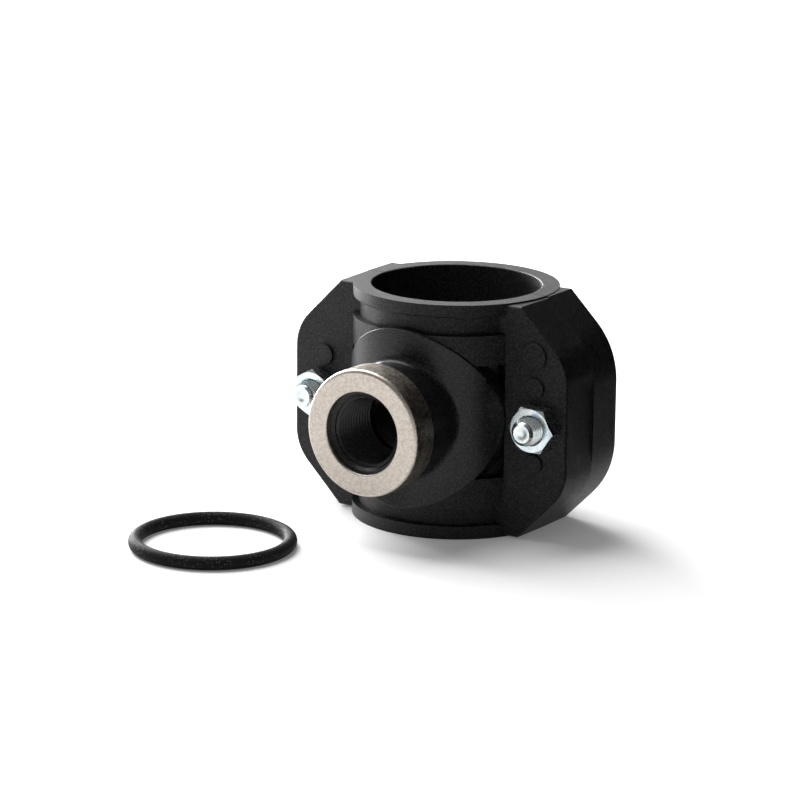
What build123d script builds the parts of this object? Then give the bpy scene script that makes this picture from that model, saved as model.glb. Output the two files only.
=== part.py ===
from build123d import *
import math
import os

os.makedirs("parts", exist_ok=True)

# Tapping saddle for a 63 mm pipe with a G3/4 outlet. Millimetres.
# The pipe runs along Z and the outlet points to -Y. The origin is where the two axes cross.

# Shell round the pipe: the body and the collars have the full wall, the bands between them are stepped in
pipe_radius = 31.5
shell_height = 87.6
shell_wall = 6.7
band_step = 2.55
collar_height = 4.85
band_height = 6.65
rim_round = 0.9
mouth_round = 0.5

# Split between the halves
split_gap = 0.3

# Ears of the upper half: their cut corners draw in towards the front
ear_front_thickness = 19.15
ear_margin = 11.3
ear_top_drop = 0.6
ear_corner_cut = 19.8
ear_side_round = 18.0
ear_top_round = 7.0
ear_split_margin = 11.4
ear_split_corner_cut = 19.1
ear_front_round = 0.9

# Ears of the lower half: a little wider, with larger roundings
ear_back_thickness = 18.2
ear_back_margin = 11.6
ear_back_top_drop = 0.25
ear_back_corner_cut = 19.85
ear_back_side_round = 30.0
ear_back_top_round = 9.5
ear_back_round = 1.8

# Turret and neck
turret_inset = 4.6
turret_rise = 1.0
turret_edge_round = 0.4
neck_radius = 21.2
neck_root_round = 2.6
neck_length = 22.3

# Stainless ring over the neck
ring_wall = 2.3
ring_flange = 2.0
ring_length = 11.5
ring_hole_radius = 15.15
ring_front_round = 1.5
ring_hole_round = 0.6
ring_back_round = 0.4
ring_clearance = 0.05

# Outlet, G3/4: the hole is at the thread's major radius, its ridges run in to the minor one
thread_major_radius = 13.22
thread_minor_radius = 12.06
thread_depth = 24.6
thread_mouth_chamfer = 0.9

# Seal ring and the groove that holds it
seal_section_radius = 2.5
seal_mean_radius = 28.1
seal_squeeze = 1.2
groove_mean_radius = 26.4
groove_side_clearance = 0.1
seal_aside_x = -46.8
seal_aside_y = -89.5

# Recesses beside the turret, with a deeper pocket at their outer top ends
recess_half_height = 21.2
recess_depth = 3.9
pocket_height = 6.5
pocket_width = 3.9
pocket_depth = 1.8

# Slots in the lower half, opposite the pockets
slot_low = 14.7
slot_high = 21.2

# Ejector marks on the front of the ears: side, distance inwards from the bolt, z and radius
mark_height = 1.0
mark_edge_round = 0.3
ear_marks = [
    (1, 2.3, 25.8, 5.0),
    (1, 1.9, 14.0, 3.9),
    (1, 1.9, -14.2, 3.65),
    (-1, 1.9, 14.0, 3.9),
    (-1, 1.9, -14.2, 3.65),
]

# Hollow cells inside the ears, open on the split face
cell_height = 8.6
cell_rib = 2.4
cell_solid_half_height = 12.0
cell_outer_wall = 3.5
cell_inner_wall = 7.4
cell_floor = 3.5

# Bolts and nuts, M10
bolt_beside_shell = 9.3
bolt_radius = 5.0
bolt_length = 45.0
bolt_hole_clearance = 0.5
bolt_tip_chamfer = 1.6
bolt_tip_radius = 3.3
bolt_dimple_radius = 1.6
bolt_dimple_depth = 0.8
bolt_stand_out = 5.85
hex_sides = 6
hex_across_flats = 16.0
hex_chamfer_angle = 30.0
head_height = 6.4
head_pocket_clearance = 0.15
nut_height = 6.6
nut_bore_clearance = 0.05
nut_countersink = 0.7
left_nut_turn = 90.0
right_nut_turn = -3.0

# Heights and distances that follow from these
half_height = shell_height / 2
shoulder_z = half_height - collar_height - band_height
shell_radius = pipe_radius + shell_wall
band_radius = shell_radius - band_step
recess_floor_radius = shell_radius - recess_depth
pocket_floor_radius = recess_floor_radius - pocket_depth
bolt_x = shell_radius + bolt_beside_shell
ear_half_width = bolt_x + ear_margin
turret_radius = shell_radius - turret_inset
turret_face_radius = shell_radius + turret_rise
neck_reach = turret_face_radius + neck_length
bolt_hole_radius = bolt_radius + bolt_hole_clearance
hex_half_angle = 180 / hex_sides
hex_corner_radius = hex_across_flats / 2 / math.cos(math.radians(hex_half_angle))
nut_front = ear_front_thickness + nut_height
bolt_tip = nut_front + bolt_stand_out
head_seat = bolt_length - bolt_tip
ring_inner_radius = neck_radius + ring_clearance
ring_outer_radius = neck_radius + ring_wall
ring_face = neck_reach + ring_flange
groove_half_width = seal_section_radius + groove_side_clearance
groove_floor_radius = pipe_radius + 2 * seal_section_radius - seal_squeeze
beyond = shell_radius + ring_face


# Section of the shell: two collars, two lower bands and the body between them
with BuildSketch(Plane.XZ) as shell_section:
    with Locations(((pipe_radius + band_radius) / 2, 0)):
        Rectangle(band_radius - pipe_radius, shell_height)
    with Locations(((pipe_radius + shell_radius) / 2, 0)):
        Rectangle(shell_radius - pipe_radius, 2 * shoulder_z)
    collar_z = half_height - collar_height / 2
    with Locations(((pipe_radius + shell_radius) / 2, collar_z), ((pipe_radius + shell_radius) / 2, -collar_z)):
        Rectangle(shell_radius - pipe_radius, collar_height)
    end_corners = shell_section.vertices().group_by(Axis.Z)
    outer_corners = [end_corners[0].sort_by(Axis.X)[-1], end_corners[-1].sort_by(Axis.X)[-1]]
    fillet(outer_corners, rim_round)
    end_corners = shell_section.vertices().group_by(Axis.Z)
    mouth_corners = [end_corners[0].sort_by(Axis.X)[0], end_corners[-1].sort_by(Axis.X)[0]]
    fillet(mouth_corners, mouth_round)


def ear_outline(plane, half_width, half_top, corner_cut, side_round, top_round):
    """Outline of both ears at once: a rectangle with its corners cut at 45 degrees and rounded."""
    with BuildSketch(plane, mode=Mode.PRIVATE) as outline:
        Rectangle(2 * half_width, 2 * half_top)
        chamfer(outline.vertices(), length=corner_cut)
        side_corners = outline.vertices().filter_by(lambda v: abs(v.X) > half_width - corner_cut / 2)
        fillet(side_corners, side_round)
        flat_corners = outline.vertices().filter_by(lambda v: abs(v.Z) > half_top - corner_cut / 2)
        fillet(flat_corners, top_round)
    return outline.sketch


# Ears of the upper half, from the split to the front
with BuildPart() as front_ears:
    split_outline = ear_outline(
        Plane.XZ,
        bolt_x + ear_split_margin,
        half_height - ear_top_drop,
        ear_split_corner_cut,
        ear_side_round,
        ear_top_round,
    )
    front_outline = ear_outline(
        Plane.XZ.offset(ear_front_thickness),
        ear_half_width,
        half_height - ear_top_drop,
        ear_corner_cut,
        ear_side_round,
        ear_top_round,
    )
    loft([split_outline.face(), front_outline.face()], ruled=True)
    fillet(front_ears.faces().sort_by(Axis.Y)[0].edges(), ear_front_round)

# Ears of the lower half, from the split to the back
with BuildPart() as back_ears:
    back_outline = ear_outline(
        Plane.XZ,
        bolt_x + ear_back_margin,
        half_height - ear_back_top_drop,
        ear_back_corner_cut,
        ear_back_side_round,
        ear_back_top_round,
    )
    extrude(back_outline, amount=-ear_back_thickness)
    fillet(back_ears.faces().sort_by(Axis.Y)[-1].edges(), ear_back_round)

# Cells inside the ears: two columns and two rows at each end of each ear, inside the outer wall
with BuildSketch(Plane.XZ) as cell_outline:
    cell_field_low = pipe_radius + cell_inner_wall
    cell_width = (ear_half_width - cell_outer_wall - cell_field_low - cell_rib) / 2
    cell_x = cell_field_low + cell_width / 2
    cell_z = cell_solid_half_height + cell_height / 2
    cell_places = [
        (side * (cell_x + column * (cell_width + cell_rib)), end * (cell_z + row * (cell_height + cell_rib)))
        for side in (-1, 1)
        for end in (-1, 1)
        for column in (0, 1)
        for row in (0, 1)
    ]
    with Locations(cell_places):
        Rectangle(cell_width, cell_height)
    inner_outline = offset(split_outline, amount=-cell_outer_wall, mode=Mode.PRIVATE)
    add(inner_outline, mode=Mode.INTERSECT)

# Turret: a round pad that follows the shell, and the neck that carries the outlet
with BuildPart() as turret:
    with BuildSketch(Plane.XZ):
        Circle(turret_radius)
    extrude(amount=beyond)
    Cylinder(turret_face_radius, shell_height, mode=Mode.INTERSECT)
    pad_edge = turret.edges().filter_by(GeomType.LINE, reverse=True).sort_by(Axis.Y)[0]
    fillet(pad_edge, turret_edge_round)
    with BuildSketch(Plane.XZ):
        Circle(neck_radius)
    extrude(amount=neck_reach)
    fillet(turret.edges(Select.NEW), neck_root_round)

# Groove for the seal ring, in the wall round the outlet
with BuildPart() as seal_groove:
    with BuildSketch(Plane.XZ):
        Circle(groove_mean_radius + groove_half_width)
        Circle(groove_mean_radius - groove_half_width, mode=Mode.SUBTRACT)
    extrude(amount=beyond)
    Cylinder(groove_floor_radius, shell_height, mode=Mode.INTERSECT)

# Recesses between the turret and the ears
with BuildPart() as side_recesses:
    ear_line_x = math.sqrt(shell_radius**2 - ear_front_thickness**2)
    with BuildSketch(Plane.XZ):
        Rectangle(2 * ear_line_x, 2 * recess_half_height)
        Circle(turret_radius, mode=Mode.SUBTRACT)
    extrude(amount=beyond)
    Cylinder(recess_floor_radius, shell_height, mode=Mode.SUBTRACT)

# Pockets at the outer top ends of the recesses
with BuildPart() as side_pockets:
    with BuildSketch(Plane.XZ):
        with Locations((0, recess_half_height - pocket_height / 2)):
            Rectangle(2 * ear_line_x, pocket_height)
            Rectangle(2 * (ear_line_x - pocket_width), pocket_height, mode=Mode.SUBTRACT)
    extrude(amount=beyond)
    Cylinder(pocket_floor_radius, shell_height, mode=Mode.SUBTRACT)

# Upper half
with BuildPart() as upper_saddle:
    revolve(shell_section.sketch, axis=Axis.Z)
    add(front_ears.part)
    add(turret.part)
    for side, mark_inwards, mark_z, mark_radius in ear_marks:
        with BuildSketch(Plane.XZ.offset(ear_front_thickness)):
            with Locations((side * (bolt_x - mark_inwards), mark_z)):
                Circle(mark_radius)
        extrude(amount=mark_height)
        fillet(upper_saddle.faces(Select.LAST).sort_by(Axis.Y)[0].edges(), mark_edge_round)
    Cylinder(pipe_radius, shell_height, mode=Mode.SUBTRACT)
    add(seal_groove.part, mode=Mode.SUBTRACT)
    add(side_recesses.part, mode=Mode.SUBTRACT)
    add(side_pockets.part, mode=Mode.SUBTRACT)
    with BuildSketch(Plane.XZ):
        Circle(thread_minor_radius)
        with Locations((-bolt_x, 0), (bolt_x, 0)):
            Circle(bolt_hole_radius)
    extrude(amount=neck_reach, mode=Mode.SUBTRACT)
    with BuildSketch(Plane.XZ.offset(neck_reach - thread_depth)):
        Circle(thread_major_radius)
    extrude(amount=thread_depth, mode=Mode.SUBTRACT)
    mouth_edge = upper_saddle.faces().sort_by(Axis.Y)[0].edges().sort_by(SortBy.RADIUS)[0]
    chamfer(mouth_edge, thread_mouth_chamfer)
    extrude(cell_outline.sketch, amount=ear_front_thickness - cell_floor, mode=Mode.SUBTRACT)
    split(bisect_by=Plane.XZ.offset(split_gap / 2), keep=Keep.TOP)

# Lower half
with BuildPart() as lower_saddle:
    revolve(shell_section.sketch, axis=Axis.Z)
    with BuildSketch(Plane.XZ):
        with GridLocations(shell_radius + band_radius, slot_low + slot_high, 2, 2):
            Rectangle(shell_radius - band_radius, slot_high - slot_low)
    revolve(axis=Axis.Z, mode=Mode.SUBTRACT)
    add(back_ears.part)
    Cylinder(pipe_radius, shell_height, mode=Mode.SUBTRACT)
    with BuildSketch(Plane.XZ):
        with Locations((-bolt_x, 0), (bolt_x, 0)):
            Circle(bolt_hole_radius)
    extrude(amount=-ear_back_thickness, mode=Mode.SUBTRACT)
    with BuildSketch(Plane.XZ.offset(-ear_back_thickness)):
        with Locations((-bolt_x, 0), (bolt_x, 0)):
            RegularPolygon(hex_corner_radius + head_pocket_clearance, hex_sides, rotation=hex_half_angle)
    extrude(amount=ear_back_thickness - head_seat, mode=Mode.SUBTRACT)
    extrude(cell_outline.sketch, amount=-(ear_back_thickness - cell_floor), mode=Mode.SUBTRACT)
    split(bisect_by=Plane.XZ.offset(-split_gap / 2), keep=Keep.BOTTOM)

# Stainless ring: a shallow cup with a hole, over the end of the neck
with BuildPart() as reinforcing_ring:
    with BuildSketch(Plane.XZ.offset(ring_face - ring_length)):
        Circle(ring_outer_radius)
    extrude(amount=ring_length)
    fillet(reinforcing_ring.faces().sort_by(Axis.Y)[0].edges(), ring_front_round)
    fillet(reinforcing_ring.faces().sort_by(Axis.Y)[-1].edges(), ring_back_round)
    with BuildSketch(Plane.XZ.offset(ring_face - ring_length)):
        Circle(ring_inner_radius)
    extrude(amount=ring_length - ring_flange, mode=Mode.SUBTRACT)
    with BuildSketch(Plane.XZ.offset(neck_reach)):
        Circle(ring_hole_radius)
    extrude(amount=ring_flange, mode=Mode.SUBTRACT)
    hole_edge = reinforcing_ring.faces().sort_by(Axis.Y)[0].edges().sort_by(SortBy.RADIUS)[0]
    fillet(hole_edge, ring_hole_round)

# Seal ring, lying beside the saddle on the same surface
with BuildPart() as seal_ring:
    with Locations((seal_aside_x, seal_aside_y, seal_section_radius - half_height)):
        Torus(seal_mean_radius, seal_section_radius)


def front_plane(x, y):
    """Plane at x and y whose outward side is the front."""
    return Plane(origin=(x, y, 0), x_dir=(1, 0, 0), z_dir=(0, -1, 0))


def turned(x, points):
    """Solid turned about the bolt's axis at x, from points given as radius and y."""
    with BuildPart(mode=Mode.PRIVATE) as solid:
        with BuildSketch(Plane(origin=(x, 0, 0))):
            with BuildLine():
                Polyline(*points, close=True)
            make_face()
        revolve(axis=Axis((x, 0, 0), (0, 1, 0)))
    return solid.part


def hexagon(x, front, back, turn, front_cut, back_cut):
    """Hexagonal block between two heights, its corners taken off by a cone at the ends that are cut."""
    flat_radius = hex_across_flats / 2
    drop = (hex_corner_radius - flat_radius) * math.tan(math.radians(hex_chamfer_angle))
    cone = [(0, front), (flat_radius, front), (hex_corner_radius, front + drop)]
    if not front_cut:
        cone = [(0, front), (hex_corner_radius, front)]
    if back_cut:
        cone += [(hex_corner_radius, back - drop), (flat_radius, back), (0, back)]
    else:
        cone += [(hex_corner_radius, back), (0, back)]
    with BuildPart(mode=Mode.PRIVATE) as block:
        with BuildSketch(front_plane(x, back)):
            RegularPolygon(hex_corner_radius, hex_sides, rotation=turn)
        extrude(amount=back - front)
        add(turned(x, cone), mode=Mode.INTERSECT)
    return block.part


# Bolts: a head at the back, and at the front a chamfered tip with a dimple
bolts = {}
for side, x in (("left", -bolt_x), ("right", bolt_x)):
    shank = [
        (0, head_seat),
        (bolt_radius, head_seat),
        (bolt_radius, bolt_tip_chamfer - bolt_tip),
        (bolt_tip_radius, -bolt_tip),
        (bolt_dimple_radius, -bolt_tip),
        (0, bolt_dimple_depth - bolt_tip),
    ]
    with BuildPart() as bolts[side]:
        add(hexagon(x, head_seat, head_seat + head_height, hex_half_angle, False, True))
        add(turned(x, shank))

# Nuts, seated on the front of the ears
nuts = {}
for side, x, turn in (("left", -bolt_x, left_nut_turn), ("right", bolt_x, right_nut_turn)):
    with BuildPart() as nuts[side]:
        add(hexagon(x, -nut_front, -ear_front_thickness, turn, True, True))
        with BuildSketch(front_plane(x, -ear_front_thickness)):
            Circle(bolt_radius + nut_bore_clearance)
        extrude(amount=nut_height, mode=Mode.SUBTRACT)
        bore_edges = nuts[side].edges().filter_by(GeomType.CIRCLE).group_by(SortBy.RADIUS)[0]
        chamfer(bore_edges, nut_countersink)

upper_saddle.part.label = "upper_saddle"
export_step(upper_saddle.part, "parts/upper_saddle.step")
lower_saddle.part.label = "lower_saddle"
export_step(lower_saddle.part, "parts/lower_saddle.step")
reinforcing_ring.part.label = "reinforcing_ring"
export_step(reinforcing_ring.part, "parts/reinforcing_ring.step")
seal_ring.part.label = "seal_ring"
export_step(seal_ring.part, "parts/seal_ring.step")
for side in ("left", "right"):
    bolts[side].part.label = "bolt_" + side
    export_step(bolts[side].part, "parts/bolt_" + side + ".step")
    nuts[side].part.label = "nut_" + side
    export_step(nuts[side].part, "parts/nut_" + side + ".step")
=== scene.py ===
# %% [markdown]
# # A tapping saddle in its studio
# The saddle clamps round a plastic pipe. Its outlet carries a thread behind a stainless ring, two zinc
# plated bolts hold the halves together, and the rubber ring that seals the tapping lies beside it.
# The solids come in already made, in metres. This lesson gives them their finish, adds the threads, and
# lights them.

# %% Load the solids
import bpy
import math
from mathutils import Matrix, Vector


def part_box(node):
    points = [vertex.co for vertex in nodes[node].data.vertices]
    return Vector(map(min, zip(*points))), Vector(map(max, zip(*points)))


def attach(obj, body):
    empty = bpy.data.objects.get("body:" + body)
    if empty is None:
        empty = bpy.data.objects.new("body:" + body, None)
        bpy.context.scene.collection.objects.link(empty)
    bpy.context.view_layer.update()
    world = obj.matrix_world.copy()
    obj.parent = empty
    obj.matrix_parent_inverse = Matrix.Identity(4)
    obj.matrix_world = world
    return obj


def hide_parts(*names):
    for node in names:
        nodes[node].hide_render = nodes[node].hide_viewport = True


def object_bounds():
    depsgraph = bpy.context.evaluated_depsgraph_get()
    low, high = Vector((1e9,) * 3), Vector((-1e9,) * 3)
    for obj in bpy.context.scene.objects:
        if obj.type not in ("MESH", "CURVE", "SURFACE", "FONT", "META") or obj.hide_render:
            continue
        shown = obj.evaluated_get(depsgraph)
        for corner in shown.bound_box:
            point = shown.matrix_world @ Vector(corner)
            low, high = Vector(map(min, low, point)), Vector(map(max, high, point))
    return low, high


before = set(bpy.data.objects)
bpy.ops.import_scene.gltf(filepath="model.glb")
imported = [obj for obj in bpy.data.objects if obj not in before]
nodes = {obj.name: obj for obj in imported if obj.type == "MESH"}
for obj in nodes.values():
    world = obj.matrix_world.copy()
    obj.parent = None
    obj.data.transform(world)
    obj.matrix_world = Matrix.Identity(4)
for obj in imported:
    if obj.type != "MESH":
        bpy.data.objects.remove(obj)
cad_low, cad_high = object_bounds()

MM = 0.001
print("solids:", ", ".join(sorted(nodes)))

# %% [markdown]
# ## The camera first
# A likeness stands or falls with the camera, so it comes before everything else. It stands about one and
# a quarter metres away with a long lens, about a third of a right angle to the right of the outlet, and
# looks slightly down. The small shift only moves the frame. Turning the camera instead would change the
# perspective as well.

# %% Camera
CAMERA_PLACE = Vector((643.6, -1042.9, 316.4)) * MM
CAMERA_YAW, CAMERA_PITCH, CAMERA_ROLL = 32.674, -14.854, 0.55
CAMERA_LENS = 152.8
FRAME_SHIFT_X, FRAME_SHIFT_Y = 0.0028, 0.0238
CLIP_NEAR, CLIP_FAR = 0.05, 60

camera = bpy.data.objects.new("camera", bpy.data.cameras.new("camera"))
bpy.context.scene.collection.objects.link(camera)
bpy.context.scene.camera = camera
camera.location = CAMERA_PLACE
turn = Matrix.Rotation(math.radians(CAMERA_YAW), 3, "Z")
tilt = Matrix.Rotation(math.radians(90 + CAMERA_PITCH), 3, "X")
roll = Matrix.Rotation(math.radians(CAMERA_ROLL), 3, "Z")
camera.rotation_euler = (turn @ tilt @ roll).to_euler()
camera.data.lens = CAMERA_LENS
camera.data.shift_x = FRAME_SHIFT_X
camera.data.shift_y = FRAME_SHIFT_Y
camera.data.clip_start = CLIP_NEAR
camera.data.clip_end = CLIP_FAR
bpy.context.scene.view_settings.view_transform = "Standard"
print("camera at", [round(v, 3) for v in camera.location])

# %% [markdown]
# ## Small tools for materials
# Every finish below is a short node tree. A few helpers let each tree read like a recipe: one makes an
# empty material, one adds a node and fills its inputs, and two more do the arithmetic between nodes.

# %% Node helpers
WHITE = (1, 1, 1, 1)


def new_material(name):
    """A node material with nothing in it yet, and its tree."""
    material = bpy.data.materials.new(name)
    material.use_nodes = True
    material.node_tree.nodes.clear()
    return material, material.node_tree


def fill_input(tree, socket, value):
    """Links another node's output to an input, or sets the input to a plain value."""
    if isinstance(value, bpy.types.NodeSocket):
        tree.links.new(value, socket)
    else:
        socket.default_value = value


def node(tree, kind, **values):
    """Adds one node; values are its properties, or its inputs by name with _ for a space."""
    made = tree.nodes.new(kind)
    for key, value in values.items():
        if key in made.bl_rna.properties:
            setattr(made, key, value)
        else:
            fill_input(tree, made.inputs[key.replace("_", " ")], value)
    return made


def compute(tree, operation, *values):
    """One step of arithmetic on plain numbers or on other nodes' outputs."""
    step = node(tree, "ShaderNodeMath", operation=operation)
    for socket, value in zip(step.inputs, values):
        fill_input(tree, socket, value)
    return step.outputs["Value"]


def step_between(tree, value, low, high, at_low=0.0, at_high=1.0):
    """Smooth step from at_low to at_high as the value goes from low to high."""
    ramp = node(
        tree,
        "ShaderNodeMapRange",
        interpolation_type="SMOOTHSTEP",
        Value=value,
        From_Min=low,
        From_Max=high,
        To_Min=at_low,
        To_Max=at_high,
    )
    return ramp.outputs["Result"]


# %% [markdown]
# ## The studio floor
# The floor is a wide pale plane at the height the saddle stands on. It has to fade to white behind the
# saddle, as paper does in a studio. More light would do that, but it would bleach the saddle too. So the
# floor itself looks brighter than its shading to a camera or mirror ray, and more so with distance. Near
# the saddle the shadow stays.

# %% Floor plane
FLOOR_Z = cad_low.z
FLOOR_SIZE = 24

bpy.ops.object.select_all(action="DESELECT")
bpy.ops.mesh.primitive_plane_add(size=FLOOR_SIZE, location=(0, 0, FLOOR_Z))
floor = bpy.context.object
floor.name = "studio_floor"
print("floor at", round(FLOOR_Z / MM, 1), "mm")

# %% Floor white
FLOOR_GREY = (0.8, 0.8, 0.8, 1)
LIFT_NEAR, LIFT_FAR = 0.11, 0.95
LIFT_STARTS, LIFT_ENDS = 0.08, 1.10

floor_white, tree = new_material("floor_white")
coords = node(tree, "ShaderNodeTexCoord").outputs["Object"]
away = node(tree, "ShaderNodeVectorMath", operation="LENGTH", Vector=coords).outputs["Value"]
path = node(tree, "ShaderNodeLightPath").outputs
seen = compute(tree, "MAXIMUM", path["Is Camera Ray"], path["Is Glossy Ray"])
rise = step_between(tree, away, LIFT_STARTS, LIFT_ENDS, LIFT_NEAR, LIFT_FAR)
shade = node(tree, "ShaderNodeBsdfDiffuse", Color=FLOOR_GREY)
lift = node(tree, "ShaderNodeEmission", Color=WHITE, Strength=compute(tree, "MULTIPLY", seen, rise))
both = node(tree, "ShaderNodeAddShader")
tree.links.new(shade.outputs["BSDF"], both.inputs[0])
tree.links.new(lift.outputs["Emission"], both.inputs[1])
node(tree, "ShaderNodeOutputMaterial", Surface=both.outputs["Shader"])
floor.data.materials.append(floor_white)
print("floor lifted by", LIFT_NEAR, "near the saddle and by", LIFT_FAR, "far away")

# %% [markdown]
# ## The world
# Seen directly, in a mirror or through glass the world is white, like the paper behind the saddle. As a
# light it is much weaker, so that the lamps on the left still model the form.

# %% World
FILL = 0.26

world = bpy.data.worlds.new("studio")
bpy.context.scene.world = world
world.use_nodes = True
tree = world.node_tree
tree.nodes.clear()
path = node(tree, "ShaderNodeLightPath").outputs
mirrored = compute(tree, "MAXIMUM", path["Is Glossy Ray"], path["Is Transmission Ray"])
seen = compute(tree, "MAXIMUM", path["Is Camera Ray"], mirrored)
fill = node(tree, "ShaderNodeBackground", Color=WHITE, Strength=FILL)
paper = node(tree, "ShaderNodeBackground", Color=WHITE, Strength=1.0)
pick = node(tree, "ShaderNodeMixShader")
tree.links.new(seen, pick.inputs[0])
tree.links.new(fill.outputs["Background"], pick.inputs[1])
tree.links.new(paper.outputs["Background"], pick.inputs[2])
node(tree, "ShaderNodeOutputWorld", Surface=pick.outputs["Shader"])
print("world fill", FILL)

# %% [markdown]
# ## Lamps and cards
# A wide soft box stands high on the left, so the left flanks are pale and the right side is dark, and a
# smaller lamp low behind it picks out the left rims. As in a real studio, cards shape what shiny surfaces
# mirror: black ones on the right, behind, and low beside the right ear, and grey ones in front and above.
# The cards show only in reflections, so they take no light from the floor and never enter the picture.

# %% Lamps
# Each lamp has its place and its size in metres, and its power in watts.
LAMPS = {
    "soft_box_left": ((-0.50, 0.10, 0.86), 0.9, 17.0),
    "rim_strip_left": ((-0.85, 0.42, 0.20), 0.5, 20.0),
}
for name, (place, size, power) in LAMPS.items():
    lamp = bpy.data.objects.new(name, bpy.data.lights.new(name, "AREA"))
    bpy.context.scene.collection.objects.link(lamp)
    lamp.data.shape = "SQUARE"
    lamp.data.size = size
    lamp.data.energy = power
    lamp.location = place
    lamp.rotation_euler = (-Vector(place)).to_track_quat("-Z", "Y").to_euler()
    print(name, power, "W")

# %% Cards
# Each card has its place in metres, its angles in degrees, its width and height in metres, and its glow.
CARDS = {
    "black_card_right": ((0.10, 0.72, 0.45), (90, 0, 90), (1.6, 1.00), 0.0),
    "black_card_behind": ((0.02, 0.50, 0.45), (90, 0, 0), (0.26, 1.00), 0.0),
    "black_card_low": ((0.17, 0.13, -0.0432), (0, 0, 0), (0.20, 0.36), 0.0),
    "grey_card_front": ((0.0, -1.60, 0.80), (90, 0, 0), (5.0, 1.70), 0.26),
    "grey_card_above": ((0.0, -0.60, 1.65), (0, 0, 0), (5.0, 2.0), 0.16),
}
for name, (place, angles, (width, height), glow) in CARDS.items():
    bpy.ops.object.select_all(action="DESELECT")
    bpy.ops.mesh.primitive_plane_add(
        size=1, location=place, rotation=[math.radians(angle) for angle in angles]
    )
    card = bpy.context.object
    card.name = name
    card.scale = (width, height, 1)
    card.visible_camera = False
    card.visible_diffuse = False
    card.visible_shadow = False
    card.visible_transmission = False
    card_tone, tree = new_material(name)
    shine = node(tree, "ShaderNodeEmission", Color=WHITE, Strength=glow)
    node(tree, "ShaderNodeOutputMaterial", Surface=shine.outputs["Emission"])
    card.data.materials.append(card_tone)
    print(name, width, "by", height, "m")

# %% [markdown]
# ## Tools for the finishes
# All patterns read Object coordinates, so they stay on their piece when it moves. A noise gives grain and
# blotches, a blend turns it into tones, a bump turns it into relief, and the distance from the outlet's
# axis tells the round faces apart.

# %% Finish helpers


def noise(tree, coords, scale, detail, roughness=0.5):
    """A noise between 0 and 1, whose grains are about one metre wide divided by the scale."""
    texture = node(
        tree, "ShaderNodeTexNoise", Vector=coords, Scale=scale, Detail=detail, Roughness=roughness
    )
    return texture.outputs["Fac"]


def blend(tree, factor, first, second):
    """Goes from the first colour to the second as the factor goes from 0 to 1."""
    mix = node(tree, "ShaderNodeMix", data_type="RGBA", Factor=factor, A=first, B=second)
    return mix.outputs["Result"]


def bumped(tree, height, depth, strength):
    """The normal of a surface that a height raises and lowers by up to a depth in metres."""
    bump = node(tree, "ShaderNodeBump", Height=height, Distance=depth, Strength=strength)
    return bump.outputs["Normal"]


def axis_distance(tree, coords):
    """Distance of a point from the outlet's axis, which is the Y axis."""
    flat = node(tree, "ShaderNodeVectorMath", operation="MULTIPLY")
    fill_input(tree, flat.inputs[0], coords)
    fill_input(tree, flat.inputs[1], (1, 0, 1))
    away = node(tree, "ShaderNodeVectorMath", operation="LENGTH", Vector=flat.outputs["Vector"])
    return away.outputs["Value"]


def principled(tree, **values):
    """Ends a tree with the Principled shader, filled as asked."""
    shader = node(tree, "ShaderNodeBsdfPrincipled", **values)
    node(tree, "ShaderNodeOutputMaterial", Surface=shader.outputs["BSDF"])


def dress(names, material):
    """Gives the named solids one material in place of the one they came with."""
    for name in names:
        nodes[name].data.materials.clear()
        nodes[name].data.materials.append(material)
    print(material.name, "on", ", ".join(names))


# %% [markdown]
# ## Black plastic
# The saddle is moulded polypropylene: nearly black, with a fine eroded grain on the shell and the ears,
# while a turned insert of the mould left the pad round the outlet and the neck smoother. Modelling the
# grain would take millions of faces, so two noises raise it as a bump, and the coarser of them also
# speckles the tone. A slow third one lets the gloss wander, and a mask by distance from the outlet's axis
# calms the grain on the pad.

# %% Black plastic: where the pad is
PAD_RADIUS = 34.0
PAD_EDGE = 0.5
PAD_BEGINS_Y = -22.0
PAD_FADE = 1.0

black_plastic, tree = new_material("black_plastic_grain")
coords = node(tree, "ShaderNodeTexCoord").outputs["Object"]
along = node(tree, "ShaderNodeSeparateXYZ", Vector=coords).outputs["Y"]
away = axis_distance(tree, coords)
on_pad = step_between(tree, away, (PAD_RADIUS - PAD_EDGE) * MM, PAD_RADIUS * MM, 1.0, 0.0)
in_front = step_between(tree, along, (PAD_BEGINS_Y - PAD_FADE) * MM, PAD_BEGINS_Y * MM, 1.0, 0.0)
calm = compute(tree, "MULTIPLY", on_pad, in_front)
print("pad of", PAD_RADIUS, "mm radius in front of y", PAD_BEGINS_Y, "mm")

# %% Black plastic: its grain and tone
DARK_SPECK, LIGHT_SPECK = (0.0010, 0.0012, 0.0016, 1), (0.0210, 0.0210, 0.0208, 1)
SPECK_RANGE = (0.42, 0.64)
GRAIN_DEPTH = 0.22 * MM
GRAIN_ON_SHELL, GRAIN_ON_PAD = 0.80, 0.12
ROUGH_ON_SHELL, ROUGH_ON_PAD = 0.42, 0.31
DRIFT_RANGE = (0.3, 0.7)
GLOSS_LOW, GLOSS_HIGH = 0.92, 1.08
PLASTIC_SPECULAR = 0.26

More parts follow.
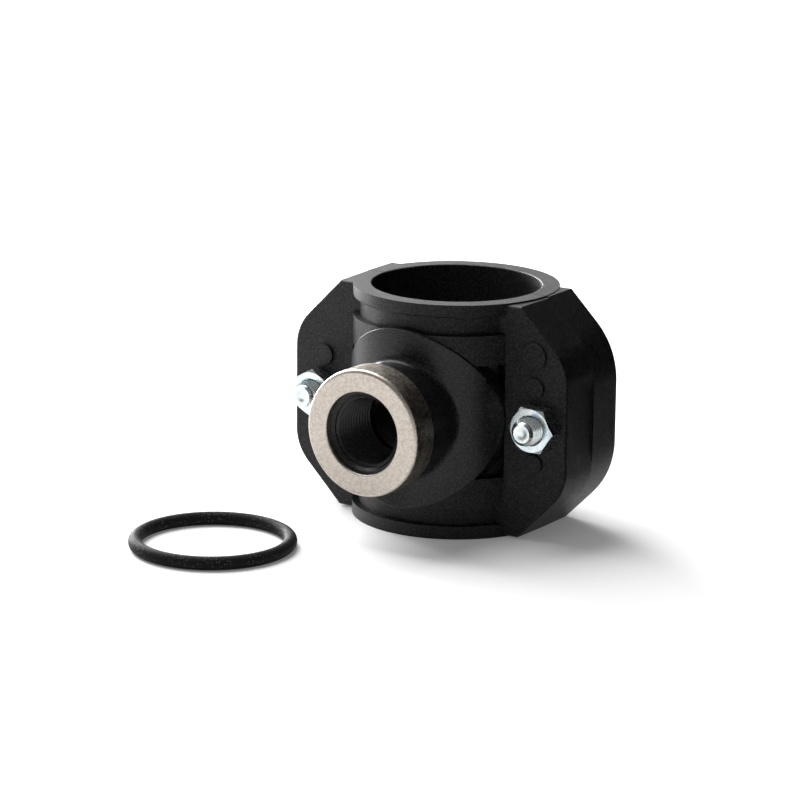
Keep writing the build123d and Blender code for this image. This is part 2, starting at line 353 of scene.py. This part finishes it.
coarse = noise(tree, coords, scale=1500, detail=2, roughness=0.6)
fine = noise(tree, coords, scale=4200, detail=1)
drift = noise(tree, coords, scale=55, detail=3)
strength = step_between(tree, calm, 0, 1, GRAIN_ON_SHELL, GRAIN_ON_PAD)
rough = step_between(tree, calm, 0, 1, ROUGH_ON_SHELL, ROUGH_ON_PAD)
wander = step_between(tree, drift, *DRIFT_RANGE, GLOSS_LOW, GLOSS_HIGH)
principled(
    tree,
    Base_Color=blend(tree, step_between(tree, coarse, *SPECK_RANGE), DARK_SPECK, LIGHT_SPECK),
    Roughness=compute(tree, "MULTIPLY", wander, rough),
    Normal=bumped(tree, compute(tree, "ADD", coarse, fine), GRAIN_DEPTH, strength),
    Specular_IOR_Level=PLASTIC_SPECULAR,
)
dress(("upper_saddle", "lower_saddle"), black_plastic)

# %% [markdown]
# ## Stainless steel
# The ring is pressed from sheet. Its face was turned, which leaves fine circles about the outlet's axis
# under a faint mottle, and its wall was drawn, which leaves it blotched with brown. The wall is also
# painted darker than the face: painted shade for the dark surroundings that the wall mirrors. The cut
# edge at the back is bright. The circles are a noise of the distance from the axis alone, so they need no
# unwrapping and have no seam. One noise of fine flecks serves face and wall, and a slower one adds the
# blotches.

# %% Stainless steel: face, wall and cut edge
ring_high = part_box("reinforcing_ring")[1]
WALL_STARTS = ring_high.x - 0.35 * MM
WALL_FADE = 0.3 * MM
CUT_EDGE_Y = ring_high.y - 0.45 * MM
CUT_EDGE_FADE = 0.1 * MM

stainless, tree = new_material("satin_stainless")
coords = node(tree, "ShaderNodeTexCoord").outputs["Object"]
along = node(tree, "ShaderNodeSeparateXYZ", Vector=coords).outputs["Y"]
away = axis_distance(tree, coords)
on_wall = step_between(tree, away, WALL_STARTS, WALL_STARTS + WALL_FADE)
at_back = step_between(tree, along, CUT_EDGE_Y, CUT_EDGE_Y + CUT_EDGE_FADE)
on_cut_edge = compute(tree, "MULTIPLY", on_wall, at_back)
print("ring wall from", round(WALL_STARTS / MM, 2), "mm radius")

# %% Stainless steel: its tones and circles
FACE_DARK, FACE_LIGHT = (0.400, 0.358, 0.318, 1), (0.535, 0.482, 0.430, 1)
# The wall's tones sit well below the face's. Their blotches belong to the drawn steel, and their darkness
# is painted shade for the dark surroundings that the wall mirrors.
WALL_DARK_WITH_PAINTED_SHADE, WALL_LIGHT_WITH_PAINTED_SHADE = (0.120, 0.104, 0.090, 1), (0.315, 0.283, 0.252, 1)
CUT_EDGE_TONE = (0.80, 0.78, 0.74, 1)
BLOTCH_RANGE = (0.30, 0.72)
FLECK_RANGE = (0.36, 0.64)
MOTTLE_RANGE = (0.4, 1.6)
CIRCLE_SCALE = 5200
CIRCLE_DEPTH, CIRCLE_STRENGTH = 0.02 * MM, 0.10
ROUGH_ON_FACE, ROUGH_ON_WALL = 0.36, 0.46

blotch = step_between(tree, noise(tree, coords, scale=320, detail=5, roughness=0.65), *BLOTCH_RANGE)
fleck = step_between(tree, noise(tree, coords, scale=1300, detail=3, roughness=0.7), *FLECK_RANGE)
mottle = step_between(tree, compute(tree, "ADD", blotch, fleck), *MOTTLE_RANGE)
face_tone = blend(tree, fleck, FACE_DARK, FACE_LIGHT)
# Painted shade: the wall takes a darker tone than the face, on top of its brown blotches.
wall_blotches_and_painted_shade = blend(tree, mottle, WALL_DARK_WITH_PAINTED_SHADE, WALL_LIGHT_WITH_PAINTED_SHADE)
ring_tone = blend(tree, on_wall, face_tone, wall_blotches_and_painted_shade)
circles = node(
    tree, "ShaderNodeTexNoise", noise_dimensions="1D", W=away, Scale=CIRCLE_SCALE, Detail=2
)
principled(
    tree,
    Base_Color=blend(tree, on_cut_edge, ring_tone, CUT_EDGE_TONE),
    Metallic=1.0,
    Roughness=step_between(tree, on_wall, 0, 1, ROUGH_ON_FACE, ROUGH_ON_WALL),
    Normal=bumped(tree, circles.outputs["Fac"], CIRCLE_DEPTH, CIRCLE_STRENGTH),
)
dress(("reinforcing_ring",), stainless)

# %% [markdown]
# ## Zinc plating
# Fresh zinc with a clear blue passivation: cool and bright, with a faint shift towards straw where the
# film is thicker. A plain polished metal would look like chrome, so the gloss wanders, and small dents
# from the wrench and the tumbling barrel catch the light. One noise gives both the dents and the gloss.

# %% Zinc plating
COOL_ZINC, STRAW_ZINC = (0.56, 0.65, 0.71, 1), (0.70, 0.74, 0.71, 1)
FILM_RANGE = (0.35, 0.65)
DENT_RANGE = (0.35, 0.70)
DENT_DEPTH, DENT_STRENGTH = 0.02 * MM, 0.12
ZINC_GLOSSY, ZINC_DULL = 0.23, 0.33

zinc, tree = new_material("bright_zinc")
coords = node(tree, "ShaderNodeTexCoord").outputs["Object"]
film = noise(tree, coords, scale=260, detail=2)
dents = noise(tree, coords, scale=700, detail=2)
principled(
    tree,
    Base_Color=blend(tree, step_between(tree, film, *FILM_RANGE), COOL_ZINC, STRAW_ZINC),
    Metallic=1.0,
    Roughness=step_between(tree, dents, *DENT_RANGE, ZINC_GLOSSY, ZINC_DULL),
    Normal=bumped(tree, dents, DENT_DEPTH, DENT_STRENGTH),
)
dress(("nut_left", "nut_right"), zinc)

# %% [markdown]
# ## Rubber
# The seal ring is dull moulded rubber. A fine flash line runs round its outside where the mould halves
# met. A step at the ring's middle height gives that line, so it closes all the way round. Pale dust has
# settled on the ring, as it does on anything made of rubber: round specks from a cell pattern, which a
# slow noise thins out in places.

# %% Rubber: its flash line and dust
seal_low, seal_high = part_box("seal_ring")
SEAL_MIDDLE_Z = (seal_low.z + seal_high.z) / 2
FLASH_HALF_WIDTH = 0.10 * MM
DUST_SCALE = 1050
SPECK_CORE, SPECK_RIM = 0.16, 0.30
COVER_RANGE = (0.34, 0.60)

rubber, tree = new_material("black_rubber")
coords = node(tree, "ShaderNodeTexCoord").outputs["Object"]
level = node(tree, "ShaderNodeSeparateXYZ", Vector=coords).outputs["Z"]
from_middle = compute(tree, "ABSOLUTE", compute(tree, "SUBTRACT", level, SEAL_MIDDLE_Z))
flash = step_between(tree, from_middle, 0.0, FLASH_HALF_WIDTH, 1.0, 0.0)
dust = node(tree, "ShaderNodeTexVoronoi", Vector=coords, Scale=DUST_SCALE).outputs["Distance"]
cover = step_between(tree, noise(tree, coords, scale=120, detail=2), *COVER_RANGE)
specks = compute(
    tree, "MULTIPLY", step_between(tree, dust, SPECK_CORE, SPECK_RIM, 1.0, 0.0), cover
)
print("flash line at z", round(SEAL_MIDDLE_Z / MM, 2), "mm")

# %% Rubber: its skin and tone
RUBBER_BLACK, DUST_GREY = (0.007, 0.007, 0.008, 1), (0.085, 0.085, 0.085, 1)
SKIN_RANGE = (0.3, 0.7)
SKIN_DEPTH, SKIN_STRENGTH = 0.08 * MM, 0.5
RUBBER_SMOOTH, RUBBER_ROUGH = 0.58, 0.70
RUBBER_SPECULAR = 0.08

skin = noise(tree, coords, scale=900, detail=3)
principled(
    tree,
    Base_Color=blend(tree, specks, RUBBER_BLACK, DUST_GREY),
    Roughness=step_between(tree, skin, *SKIN_RANGE, RUBBER_SMOOTH, RUBBER_ROUGH),
    Normal=bumped(tree, compute(tree, "ADD", flash, skin), SKIN_DEPTH, SKIN_STRENGTH),
    Specular_IOR_Level=RUBBER_SPECULAR,
)
dress(("seal_ring",), rubber)

# %% [markdown]
# ## Turning a profile
# The threads are the forms that the solids leave out. All of them come from one tool: a profile of radius
# and height that the Screw modifier turns about the Y axis. With no pitch it makes a turned piece, and
# with one it makes a helix, whose open ends are filled. Placing the faces of a helix one by one would
# take far more code. A second tool then keeps a ridge inside or outside a cone, which is how a thread
# fades out at a chamfer.

# %% Turned and screwed pieces
MERGE_DISTANCE = 1e-6


def select_only(obj):
    """Selects one object and makes it the active one."""
    bpy.ops.object.select_all(action="DESELECT")
    obj.select_set(True)
    bpy.context.view_layer.objects.active = obj


def turn_profile(name, profile, steps, pitch=0.0, turns=1.0, closed=False):
    """Turns points of (radius, y) in mm about the Y axis, with so many steps to a turn.

    A pitch makes each turn rise along +Y, right handed.
    """
    mesh = bpy.data.meshes.new(name)
    points = [(radius * MM, y * MM, 0) for radius, y in profile]
    edges = [(i, i + 1) for i in range(len(points) - 1)]
    if closed:
        edges.append((len(points) - 1, 0))
    mesh.from_pydata(points, edges, [])
    piece = bpy.data.objects.new(name, mesh)
    bpy.context.scene.collection.objects.link(piece)
    screw = piece.modifiers.new("turn", "SCREW")
    screw.axis = "Y"
    screw.angle = math.tau * turns
    screw.screw_offset = pitch * turns * MM
    screw.steps = round(steps * turns)
    screw.use_merge_vertices = pitch == 0
    screw.merge_threshold = MERGE_DISTANCE
    select_only(piece)
    bpy.ops.object.modifier_apply(modifier=screw.name)
    bpy.ops.object.mode_set(mode="EDIT")
    bpy.ops.mesh.select_all(action="SELECT")
    if pitch:
        bpy.ops.mesh.fill_holes(sides=len(profile))
    bpy.ops.mesh.normals_make_consistent(inside=False)
    bpy.ops.object.mode_set(mode="OBJECT")
    print(name, "turned with", len(piece.data.polygons), "faces")
    return piece


def limit_radius(piece, allowed):
    """Moves each vertex to the radius that allowed(radius, y) gives, both in mm, about the Y axis."""
    for vertex in piece.data.vertices:
        radius = math.hypot(vertex.co.x, vertex.co.z)
        if radius > 0:
            wanted = allowed(radius / MM, vertex.co.y / MM) * MM
            vertex.co.x *= wanted / radius
            vertex.co.z *= wanted / radius


# %% [markdown]
# ## The outlet's thread
# A G3/4 thread has 14 threads to the inch, 55 degree flanks and round crests. Cutting it out of the solid
# would need a boolean on a dense mesh. Instead its ridge grows out of the plain hole, from the bottom of
# the bore to the chamfer at its mouth, where it fades out over its last turn.

# %% Outlet thread: its ridge
OUTLET_PITCH = 25.4 / 14
OUTLET_MAJOR, OUTLET_MINOR = 13.22, 12.06
OUTLET_BURIED = 0.10
OUTLET_START, OUTLET_END = -60.9, -37.3
OUTLET_STEPS = 72

outlet_profile = [
    (OUTLET_MAJOR + OUTLET_BURIED, -0.44 * OUTLET_PITCH),
    (OUTLET_MAJOR - 0.08, -0.38 * OUTLET_PITCH),
    (OUTLET_MINOR + 0.20, -0.13 * OUTLET_PITCH),
    (OUTLET_MINOR + 0.04, -0.06 * OUTLET_PITCH),
    (OUTLET_MINOR, 0),
    (OUTLET_MINOR + 0.04, 0.06 * OUTLET_PITCH),
    (OUTLET_MINOR + 0.20, 0.13 * OUTLET_PITCH),
    (OUTLET_MAJOR - 0.08, 0.38 * OUTLET_PITCH),
    (OUTLET_MAJOR + OUTLET_BURIED, 0.44 * OUTLET_PITCH),
]
turns = (OUTLET_END - OUTLET_START) / OUTLET_PITCH - 1
first = [(radius, y + OUTLET_START + OUTLET_PITCH / 2) for radius, y in outlet_profile]
outlet_thread = turn_profile("outlet_thread", first, OUTLET_STEPS, OUTLET_PITCH, turns, closed=True)

# %% Outlet thread: its mouth and finish
OUTLET_FADE = 1.2
OUTLET_SMOOTH_DEGREES = 50


def outside_mouth(radius, y):
    """Keeps the ridge out of the chamfered mouth."""
    into_mouth = max(0, OUTLET_START + OUTLET_FADE - y)
    return max(radius, OUTLET_MINOR + into_mouth)


limit_radius(outlet_thread, outside_mouth)
select_only(outlet_thread)
bpy.ops.object.shade_smooth_by_angle(angle=math.radians(OUTLET_SMOOTH_DEGREES))
outlet_thread.data.materials.append(black_plastic)
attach(outlet_thread, "upper")
print("outlet thread of", round(turns, 1), "turns")

# %% [markdown]
# ## Threaded bolts
# Each plain bolt makes way for one with its M10 thread. The shank is turned, with a chamfered tip and the
# small dimple that the rolling leaves in it, and the ridge winds round its core, sunk into it a little so
# that no gap shows. The head is a hexagon whose corners a 30 degree cone takes off. Shank, ridge and head
# are joined into one piece, which takes the place of the solid.

# %% Bolt sizes
BOLT_PITCH = 1.5
BOLT_MAJOR, BOLT_CORE = 5.0, 4.08
BOLT_BURIED = 0.06
BOLT_PLAIN_ENDS = -5.0
TIP_RADIUS, TIP_CHAMFER = 3.3, 1.6
DIMPLE_RADIUS, DIMPLE_DEPTH = 1.6, 0.8
HEAD_ACROSS_FLATS, HEAD_HEIGHT = 16.0, 6.4
BOLT_STEPS = 48

bolt_low, bolt_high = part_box("bolt_right")
bolt_x = (bolt_low.x + bolt_high.x) / 2
bolt_tip = bolt_low.y / MM
head_top = bolt_high.y / MM
head_seat = head_top - HEAD_HEIGHT
print("bolts from y", round(bolt_tip, 2), "to", round(head_top, 2), "mm")

# %% Shank and ridge


def make_shank():
    """The turned shank, plain near the head and thinner where the thread runs."""
    core_drop = (BOLT_CORE - TIP_RADIUS) * TIP_CHAMFER / (BOLT_MAJOR - TIP_RADIUS)
    profile = [
        (0, bolt_tip + DIMPLE_DEPTH),
        (DIMPLE_RADIUS, bolt_tip),
        (TIP_RADIUS, bolt_tip),
        (BOLT_CORE, bolt_tip + core_drop),
        (BOLT_CORE, BOLT_PLAIN_ENDS - BOLT_MAJOR + BOLT_CORE),
        (BOLT_MAJOR, BOLT_PLAIN_ENDS),
        (BOLT_MAJOR, head_seat),
        (0, head_seat),
    ]
    return turn_profile("bolt_shank", profile, BOLT_STEPS)


def inside_tip(radius, y):
    """Keeps the ridge inside the tip's chamfer."""
    return min(radius, TIP_RADIUS + (BOLT_MAJOR - TIP_RADIUS) * max(0, y - bolt_tip) / TIP_CHAMFER)


def make_ridge():
    """The ridge of the thread, with 60 degree flanks and a narrow flat crest."""
    profile = [
        (BOLT_CORE - BOLT_BURIED, -0.47 * BOLT_PITCH),
        (BOLT_CORE + 0.08, -0.40 * BOLT_PITCH),
        (BOLT_MAJOR, -0.07 * BOLT_PITCH),
        (BOLT_MAJOR, 0.07 * BOLT_PITCH),
        (BOLT_CORE + 0.08, 0.40 * BOLT_PITCH),
        (BOLT_CORE - BOLT_BURIED, 0.47 * BOLT_PITCH),
    ]
    turns = (BOLT_PLAIN_ENDS - bolt_tip) / BOLT_PITCH - 1
    first = [(radius, y + bolt_tip + BOLT_PITCH / 2) for radius, y in profile]
    ridge = turn_profile("bolt_ridge", first, BOLT_STEPS, BOLT_PITCH, turns, closed=True)
    limit_radius(ridge, inside_tip)
    return ridge


shank = make_shank()
ridge = make_ridge()

# %% Head
HALF_SIDE_ANGLE = math.pi / 6
CONE_ANGLE = math.pi / 6
CONE_STEPS = 96
CONE_SPARE = 1.0


def make_head():
    """The hexagon of the head, its outer corners taken off by a cone that is a little wider and deeper."""
    flat_radius = HEAD_ACROSS_FLATS / 2
    corner_radius = flat_radius / math.cos(HALF_SIDE_ANGLE)
    cone_drop = (corner_radius - flat_radius) * math.tan(CONE_ANGLE)
    spare_drop = CONE_SPARE * math.tan(CONE_ANGLE)
    bpy.ops.object.select_all(action="DESELECT")
    bpy.ops.mesh.primitive_cylinder_add(
        vertices=6,
        radius=corner_radius * MM,
        depth=HEAD_HEIGHT * MM,
        location=(0, (head_seat + head_top) / 2 * MM, 0),
        rotation=(math.pi / 2, 0, 0),
    )
    head = bpy.context.object
    bpy.ops.object.transform_apply(location=True, rotation=True, scale=True)
    profile = [
        (0, head_seat - CONE_SPARE),
        (corner_radius + CONE_SPARE, head_seat - CONE_SPARE),
        (corner_radius + CONE_SPARE, head_top - cone_drop - spare_drop),
        (flat_radius, head_top),
        (0, head_top),
    ]
    cone = turn_profile("head_cone", profile, CONE_STEPS)
    cut = head.modifiers.new("cone", "BOOLEAN")
    cut.operation = "INTERSECT"
    cut.object = cone
    select_only(head)
    bpy.ops.object.modifier_apply(modifier=cut.name)
    bpy.data.objects.remove(cone)
    return head


head = make_head()
print("head with", len(head.data.polygons), "faces")

# %% Joined bolts
BOLT_SMOOTH_DEGREES = 30

select_only(shank)
ridge.select_set(True)
head.select_set(True)
bpy.ops.object.join()
threaded_bolt = bpy.context.object
bpy.ops.object.shade_smooth_by_angle(angle=math.radians(BOLT_SMOOTH_DEGREES))
threaded_bolt.data.materials.clear()
threaded_bolt.data.materials.append(zinc)

for side, place_x in (("left", -bolt_x), ("right", bolt_x)):
    bolt = bpy.data.objects.new("threaded_bolt_" + side, threaded_bolt.data.copy())
    bpy.context.scene.collection.objects.link(bolt)
    bolt.data.transform(Matrix.Translation((place_x, 0, 0)))
    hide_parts("bolt_" + side)
    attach(bolt, "lower")
    print(bolt.name, "with", len(bolt.data.polygons), "faces")
bpy.data.objects.remove(threaded_bolt)
